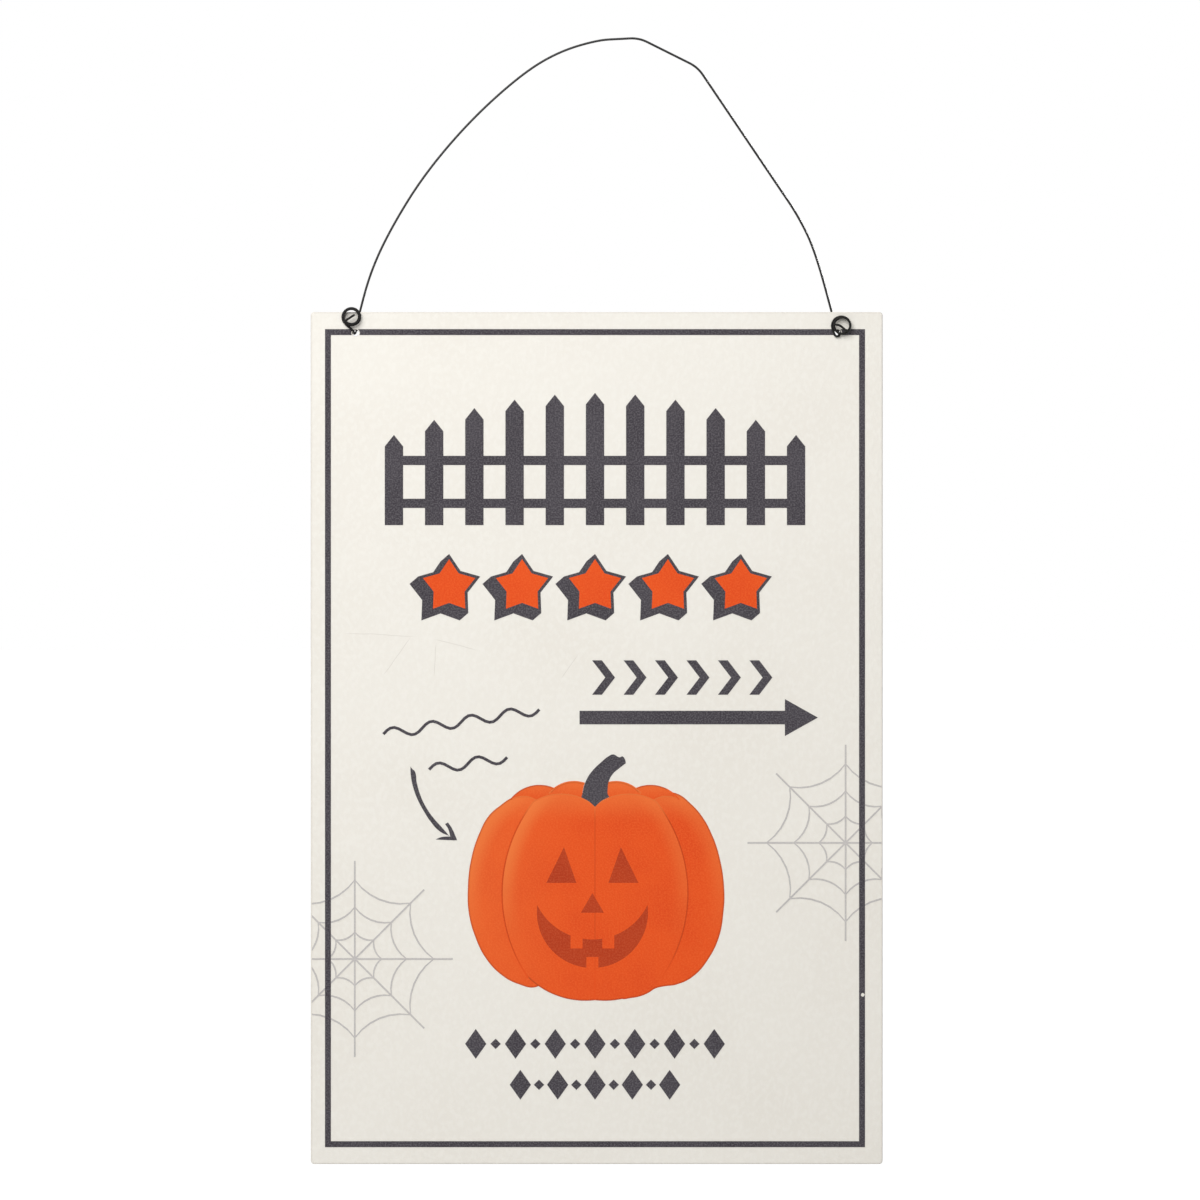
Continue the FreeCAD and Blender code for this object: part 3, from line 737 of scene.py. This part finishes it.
# Corners of the arch, across and up as shares of the span between the holes and of the rise
ARCH = [
    (0.006, 0), (0.031, 0.158), (0.073, 0.313), (0.141, 0.506), (0.238, 0.706), (0.344, 0.873),
    (0.420, 0.954), (0.501, 0.997), (0.588, 1.005), (0.710, 0.898), (0.920, 0.352), (0.955, 0.224),
]
FIRST_KINK, SECOND_KINK, LONG_RUN_END = 8, 9, 10

# Curls, right and up from the hole: middle, its drift in a turn, corners, bends before and after
CURL_RADIUS = 0.0032
CURL_TIGHTENING = 0.00035
CURL_PITCH = 0.00085
TAIL_PITCH = 0.00017
CURL_CORNERS = 10
CURL_START = 216
LEFT_CURL = ((-0.00135, 0.0055), (0, 0), 19, [(-0.0008, 0.0008)],
             [(-0.0037, 0.00405), (-0.0027, 0.0045), (-0.0002, 0.0062)])
RIGHT_CURL = ((0.0011, 0.00255), (0.0003, 0), 17, [(0.0006, -0.0011), (-0.0009, -0.0013)],
              [(0.0033, 0.0003), (0.0024, 0.0009), (0.0003, 0.0028), (-0.00095, 0.0026)])


def towards(start, end, distance):
    return start + (end - start).normalized() * distance


def curl_points(hole, middle, drift, steps, before, after):
    """Corners of one wire end from the hole outward, wound clockwise, inward and away from the board."""
    y = board_low.y - SEAT
    points = [Vector((hole.x + right, y, hole.z + up)) for right, up in before]
    for step in range(steps + 1):
        turns = step / CURL_CORNERS
        angle = math.radians(CURL_START - turns * 360)
        corner_radius = (CURL_RADIUS - turns * CURL_TIGHTENING) / math.cos(math.pi / CURL_CORNERS)
        right = middle[0] + turns * drift[0] + corner_radius * math.cos(angle)
        up = middle[1] + turns * drift[1] + corner_radius * math.sin(angle)
        points.append(Vector((hole.x + right, y - turns * CURL_PITCH, hole.z + up)))
    for right, up in after:
        points.append(Vector((hole.x + right, points[-1].y - TAIL_PITCH, hole.z + up)))
    return points


def threaded_end(hole, arch_end, way_out, curl):
    """From the arch behind the board, through the hole, out so far right and up, and round the curl."""
    right, up = way_out
    behind = Vector((hole.x, 0, hole.z + BEARING_RISE))
    in_front = Vector((hole.x + right, board_low.y - SEAT, hole.z + up))
    turns = curl_points(hole, *curl)
    lead = min(HOLE_LEAD, (turns[0] - in_front).length / 2)
    return [
        towards(behind, arch_end, HOLE_LEAD), behind, towards(behind, in_front, HOLE_LEAD),
        towards(in_front, behind, HOLE_LEAD), in_front, towards(in_front, turns[0], lead),
        *turns,
    ]


def wire_material():
    """Smooth along the arch, and dull at the curls, where pliers gripped the wire."""
    material, tree, shader = new_material("black_annealed_wire", DRAWN_ROUGHNESS, WIRE_SHEEN)
    scale = patches(tree, WIRE_SCALE)
    colour = blend(tree, scale, linear(WIRE_BLACK), linear(WIRE_BROWN))
    tree.links.new(colour, shader.inputs["Base Color"])
    add_bump(tree, shader, scale, SCALE_HEIGHT)
    gripped = spread(tree, along_axes(tree, position(tree))["Y"], 0, board_low.y)
    duller = GRIPPED_ROUGHNESS - DRAWN_ROUGHNESS
    roughness = reckon(tree, "MULTIPLY_ADD", gripped, duller, DRAWN_ROUGHNESS)
    tree.links.new(roughness, shader.inputs["Roughness"])
    return material


left_hole, right_hole = hole_places
arch = []
for across, up in ARCH:
    arch.append(Vector((left_hole.x + across * 2 * hole_x, 0, board_high.z + up * HANGER_RISE)))
arch_run = arch[:FIRST_KINK]
for kink in (FIRST_KINK, SECOND_KINK):
    arch_run += [towards(arch[kink], arch[kink - 1], KINK_REACH), arch[kink],
                 towards(arch[kink], arch[kink + 1], KINK_REACH)]
arch_run.append(towards(arch[LONG_RUN_END], arch[SECOND_KINK], LONG_RUN_REACH))
arch_run += arch[LONG_RUN_END:]
route = threaded_end(left_hole, arch[0], LEFT_EXIT, LEFT_CURL)[::-1]
route += arch_run + threaded_end(right_hole, arch[-1], RIGHT_EXIT, RIGHT_CURL)

line = bpy.data.curves.new("wire_hanger_line", "CURVE")
line.dimensions = "3D"
spline = line.splines.new("NURBS")
spline.points.add(len(route) - 1)
for control, point in zip(spline.points, route):
    control.co = (*point, 1)
spline.order_u = 3
spline.use_endpoint_u = True
spline.resolution_u = ROUTE_STEPS
line.bevel_depth = WIRE_RADIUS
line.bevel_resolution = WIRE_ROUNDNESS
line.use_fill_caps = True
wire = mesh_along("bent_wire_hanger", line)
bpy.ops.object.shade_smooth_by_angle(angle=math.radians(WIRE_SMOOTH_BELOW))
wire.data.materials.clear()
wire.data.materials.append(wire_material())
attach(wire, "root")
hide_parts("wire_hanger")

# Stage: a plain pale floor some way below the hanging sign, a soft lamp from the upper left, a
# weaker one behind that lights the back, and an even white surround. The camera looks straight at
# the front, through a long lens.
FLOOR_DROP = 0.2
FLOOR_SIZE = 60
FLOOR_WHITE = (0.75, 0.75, 0.75, 1)
FLOOR_ROUGHNESS = 0.9
FLOOR_LIFT = 0.46
FLOOR_LIFT_FAR = 0.78
FLOOR_NEAR = 0.7
FLOOR_FAR = 1.35
SURROUND = 0.348
KEY_PLACE = Vector((-0.3, -0.8, 0.4))
KEY_SIZE = 0.8
KEY_SPREAD = 180
KEY_POWER = 8.65
BACK_PLACE = Vector((0.45, 1.3, 0.1))
BACK_SIZE = 0.5
BACK_SPREAD = 50
BACK_POWER = 0.75
LENS = 120
SENSOR = 36
VIEW_WIDTH = 0.4196
VIEW_MIDDLE = Vector((0.00115, board_low.y, board_high.z - 0.1007))
WHITE_LIGHT = (1, 1, 1, 1)


def seen_itself(tree):
    """1 where a thing is seen, straight, mirrored or through glass, and 0 for the light that it gives."""
    ray = tree.nodes.new("ShaderNodeLightPath").outputs
    seen = reckon(tree, "MAXIMUM", ray["Is Camera Ray"], ray["Is Glossy Ray"])
    return reckon(tree, "MAXIMUM", seen, ray["Is Transmission Ray"])


bpy.ops.object.select_all(action="DESELECT")
bpy.ops.mesh.primitive_plane_add(size=FLOOR_SIZE, location=(0, 0, board_low.z - FLOOR_DROP))
floor = bpy.context.object
floor.name = "floor"
bpy.ops.object.transform_apply(location=True, rotation=True, scale=True)
floor_material, tree, shader = new_material("floor_white", FLOOR_ROUGHNESS, sheen=0)
shader.inputs["Base Color"].default_value = FLOOR_WHITE
away = reckon_vector(tree, "LENGTH", "Value", position(tree))
distant = spread(tree, away, FLOOR_NEAR, FLOOR_FAR)
lift = reckon(tree, "MULTIPLY_ADD", distant, FLOOR_LIFT_FAR - FLOOR_LIFT, FLOOR_LIFT)
shader.inputs["Emission Color"].default_value = WHITE_LIGHT
tree.links.new(reckon(tree, "MULTIPLY", seen_itself(tree), lift), shader.inputs["Emission Strength"])
floor.data.materials.append(floor_material)

world = bpy.data.worlds.new("white_surround")
bpy.context.scene.world = world
world.use_nodes = True
tree = world.node_tree
background = tree.nodes["Background"]
background.inputs["Color"].default_value = WHITE_LIGHT
level = reckon(tree, "MULTIPLY_ADD", seen_itself(tree), 1 - SURROUND, SURROUND)
tree.links.new(level, background.inputs["Strength"])


def soft_lamp(name, place, size, spread_angle, power):
    """A round lamp that points at the middle of the board, with its beam so many degrees wide."""
    light = bpy.data.lights.new(name, "AREA")
    light.shape = "DISK"
    light.size = size
    light.spread = math.radians(spread_angle)
    light.energy = power
    lamp = bpy.data.objects.new(name, light)
    bpy.context.scene.collection.objects.link(lamp)
    lamp.location = place
    lamp.rotation_euler = ((board_low + board_high) / 2 - place).to_track_quat("-Z", "Y").to_euler()


soft_lamp("key_lamp", KEY_PLACE, KEY_SIZE, KEY_SPREAD, KEY_POWER)
soft_lamp("back_lamp", BACK_PLACE, BACK_SIZE, BACK_SPREAD, BACK_POWER)

eye = bpy.data.cameras.new("camera")
eye.lens = LENS
eye.sensor_width = SENSOR
camera = bpy.data.objects.new("camera", eye)
bpy.context.scene.collection.objects.link(camera)
camera.location = VIEW_MIDDLE - Vector((0, VIEW_WIDTH * LENS / SENSOR, 0))
camera.rotation_euler = (math.pi / 2, 0, 0)
bpy.context.scene.camera = camera
bpy.context.scene.view_settings.view_transform = "Standard"
